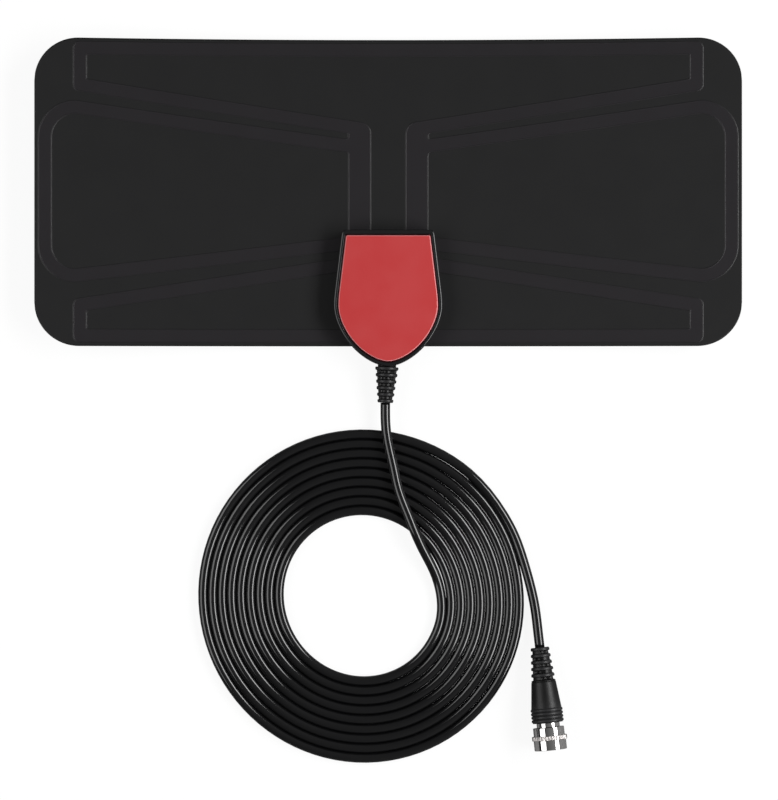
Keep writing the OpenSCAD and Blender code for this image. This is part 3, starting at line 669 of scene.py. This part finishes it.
def turned(name, profile, body, slot, replaced, made, sides=144, shape=None):
    """A lathe-turned piece: (height, radius) points, with shape(turn, z, r) added to r.

    ridge marks the points on the nut's ridge, whose colour the finish darkens as painted shade."""
    z, r = np.array(profile, float).T
    turn = np.linspace(0, 2 * np.pi, sides, endpoint=False)
    turn, z = np.meshgrid(turn, z)
    r = np.repeat(r[:, None], sides, 1)
    if shape is not None:
        r = r + shape(turn, z, r)
    piece = surface(name, on_plug(r * np.cos(turn), r * np.sin(turn), z))
    ridge = (z > ridge_start - 0.02) & (z < front_start + 0.02) & (r > nut_front_d / 2 + 0.05)
    ridge_mask = piece.data.attributes.new("ridge", "FLOAT", "POINT")
    ridge_mask.data.foreach_set("value", np.append(ridge.ravel(), [0, 0]).astype(np.float32))
    piece.data.materials.append(made)
    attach(piece, body)
    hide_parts(replaced)
    return piece


def knurl(turn, z, r):
    """Notches across the ridge only: V-shaped, with flat lands between them."""
    wave = np.abs(((turn * knurl_count / (2 * np.pi)) % 1) - 0.5) * 2
    depth = knurl_depth * np.clip(wave * 2 - 1, 0, 1)
    on = (r > ridge_d / 2 - 0.25) & (z > ridge_start - 0.1) & (z < front_start + 0.1)
    return -depth * on


def softened(corners, radius=0.12, fullness=0.4):
    """Each corner of a profile becomes a small round, between two points that lie flat.

    fullness is how far the middle of the round goes from its chord to the corner."""
    out = [corners[0]]
    for before, here, after in zip(corners, corners[1:], corners[2:]):
        here = np.array(here, float)
        ways = [np.array(other, float) - here for other in (before, after)]
        lengths = [np.linalg.norm(way) for way in ways]
        near = [here + w / n * min(radius, n / 4) for w, n in zip(ways, lengths)]
        flat = [here + w / n * min(2 * radius, n / 2.5) for w, n in zip(ways, lengths)]
        middle = here * fullness + (near[0] + near[1]) * (1 - fullness) / 2
        out += [flat[0], near[0], middle, near[1], flat[1]]
    return out + [corners[-1]]


nickel = grained("nickel", nickel_grey, rough=(0.05, 0.11), grain_mm=0.8, depth_mm=0.003, metal=1)
nodes, links = nickel.node_tree.nodes, nickel.node_tree.links
mark = nodes.new("ShaderNodeAttribute")
mark.attribute_name = "ridge"
dull = nodes.new("ShaderNodeMath")
dull.operation = "MULTIPLY_ADD"
dull.inputs[1].default_value = 0.25
links.new(mark.outputs["Fac"], dull.inputs[0])
links.new(nodes["Group"].outputs["Roughness"], dull.inputs[2])
links.new(dull.outputs[0], nodes["Principled BSDF"].inputs["Roughness"])
# On the knurled ridge the colour is darkened to ridge_shade_grey as painted shade, and the
# roughness is raised.
ridge_shade_tint = nodes.new("ShaderNodeMix")
ridge_shade_tint.data_type = "RGBA"
ridge_shade_tint.inputs["A"].default_value = (*nickel_grey, 1)
ridge_shade_tint.inputs["B"].default_value = (*ridge_shade_grey, 1)
links.new(mark.outputs["Fac"], ridge_shade_tint.inputs["Factor"])
links.new(ridge_shade_tint.outputs["Result"], nodes["Principled BSDF"].inputs["Base Color"])
flange_z = nut_start + nut_wall + 2 * run
ferrule_start = grip_start + ferrule_in
flange_r = (thread_d - 0.5) / 2
turned("connector_metal", softened([
    (ferrule_start, crimp_r), (ferrule_start, sleeve_r), (neck_start, sleeve_r),
    (neck_start, neck_metal_d / 2), (nut_start, neck_metal_d / 2), (nut_start, post_d / 2),
    (flange_z, post_d / 2), (flange_z, flange_r), (flange_z + flange_l, flange_r),
    (flange_z + flange_l, bore_r), (ferrule_start + crimp_l, bore_r),
    (ferrule_start + crimp_l, crimp_r)]),
    "antenna", "nickel", "connector_body", nickel)
thread = [(plug_l - thread_in - 0.5 * thread_pitch * i, thread_d / 2 + thread_depth * (i % 2))
          for i in range(thread_points)]
turned("ridged_nut", softened([
    (nut_start + run + nut_wall, thread_d / 2),
    (nut_start + run + nut_wall, post_d / 2 + post_gap), (nut_start + run, post_d / 2 + post_gap),
    (nut_start + run, nut_rear_d / 2), (ridge_start, nut_rear_d / 2), (ridge_start, ridge_d / 2),
    (front_start, ridge_d / 2), (front_start, nut_front_d / 2), (plug_l, nut_front_d / 2),
    (plug_l, thread_d / 2 + chamfer)]) + thread,
    "nut", "nickel", "coupling_nut", nickel, sides=288, shape=knurl)
dress(grained("white_insulation", (0.8, 0.8, 0.76), rough=(0.4, 0.5), grain_mm=0.6,
              depth_mm=0.01), "connector_dielectric")
dress(grained("copper_wire", (0.72, 0.42, 0.27), rough=(0.2, 0.3), grain_mm=0.6,
              depth_mm=0.004, metal=1),
      "centre_pin", "coax_core", "balun_windings")

# Inside the housing
# The board with the matching transformer, its contacts and the lead's stripped end. They
# are closed in, and get the finish of the real pieces.
dress(grained("board_green", (0.03, 0.12, 0.06), rough=(0.3, 0.4), grain_mm=1.0,
              depth_mm=0.01), "circuit_board")
dress(grained("ferrite", (0.05, 0.05, 0.055), rough=(0.5, 0.65), grain_mm=0.3,
              depth_mm=0.02), "balun_core")
dress(grained("spring_strip", (0.75, 0.58, 0.3), rough=(0.25, 0.35), grain_mm=0.6,
              depth_mm=0.004, metal=1),
      "contact_left", "contact_right")
dress(grained("solder", (0.62, 0.63, 0.64), rough=(0.25, 0.4), grain_mm=0.8,
              depth_mm=0.02, metal=1), "solder_joints", "coax_braid")

# Table and light
# A plain white table, seen at full white and mirrored as a grey. A narrow soft lamp stands
# on the right and a wide weak one on the left, and the room is brighter on the right.
reach, table_z, seen_share, mirrored = 3.0, -2e-5, 0.9, (0.2, 0.2, 0.2, 1)
room_left, room_right = 0.03, 0.3
table = bpy.data.objects.new("table", bpy.data.meshes.new("table"))
table.data.from_pydata([(-reach, -reach, table_z), (reach, -reach, table_z),
                        (reach, reach, table_z), (-reach, reach, table_z)], [], [(0, 1, 2, 3)])
bpy.context.scene.collection.objects.link(table)
white, nodes, links, shader = new_finish("white_table", (0.86, 0.86, 0.86), 0.9)
glow = nodes.new("ShaderNodeEmission")
glow.inputs["Strength"].default_value = 1.0
path_info = nodes.new("ShaderNodeLightPath")
share = nodes.new("ShaderNodeMath")
share.operation = "MULTIPLY"
share.inputs[1].default_value = seen_share
links.new(path_info.outputs["Is Camera Ray"], share.inputs[0])
blend = nodes.new("ShaderNodeMixShader")
links.new(share.outputs[0], blend.inputs["Fac"])
links.new(shader.outputs[0], blend.inputs[1])
links.new(glow.outputs[0], blend.inputs[2])
reflected = nodes.new("ShaderNodeBsdfDiffuse")
reflected.inputs["Color"].default_value = mirrored
dim = nodes.new("ShaderNodeMixShader")
links.new(path_info.outputs["Is Glossy Ray"], dim.inputs["Fac"])
links.new(blend.outputs[0], dim.inputs[1])
links.new(reflected.outputs[0], dim.inputs[2])
links.new(dim.outputs[0], nodes["Material Output"].inputs["Surface"])
table.data.materials.append(white)


def soft_lamp(name, side, energy, width=0.55, height=0.9, distance=0.8, lean=50, below=20):
    """A soft box that faces the antenna from one side, lean degrees off the vertical."""
    lamp = bpy.data.lights.new(name, "AREA")
    lamp.shape = "RECTANGLE"
    lamp.size, lamp.size_y = width, height
    lamp.energy = energy
    stand = bpy.data.objects.new(name, lamp)
    a = np.radians(lean) * side
    stand.location = (distance * np.sin(a), edge_y - below * mm, distance * np.cos(a))
    stand.rotation_euler = (0, a, 0)
    bpy.context.scene.collection.objects.link(stand)


soft_lamp("lamp_right", 1, 9.5, width=0.3)
soft_lamp("lamp_left", -1, 4.8)

# The room is seen white, and lights the object dimly, more from the right than the left.
world = bpy.data.worlds.new("white_room")
bpy.context.scene.world = world
world.use_nodes = True
nodes, links = world.node_tree.nodes, world.node_tree.links
room = nodes["Background"]
room.inputs["Color"].default_value = (1, 1, 1, 1)
seen_room = nodes.new("ShaderNodeBackground")
seen_room.inputs["Strength"].default_value = 1.0
path_info = nodes.new("ShaderNodeLightPath")
blend = nodes.new("ShaderNodeMixShader")
links.new(path_info.outputs["Is Camera Ray"], blend.inputs["Fac"])
links.new(room.outputs[0], blend.inputs[1])
links.new(seen_room.outputs[0], blend.inputs[2])
links.new(blend.outputs[0], nodes["World Output"].inputs["Surface"])
way = nodes.new("ShaderNodeTexCoord")
axes = nodes.new("ShaderNodeSeparateXYZ")
links.new(way.outputs["Generated"], axes.inputs[0])
side_light = nodes.new("ShaderNodeMapRange")
side_light.inputs["From Min"].default_value = -1
side_light.inputs["To Min"].default_value = room_left
side_light.inputs["To Max"].default_value = room_right
links.new(axes.outputs["X"], side_light.inputs["Value"])
links.new(side_light.outputs["Result"], room.inputs["Strength"])

bpy.context.scene.view_settings.view_transform = "Standard"
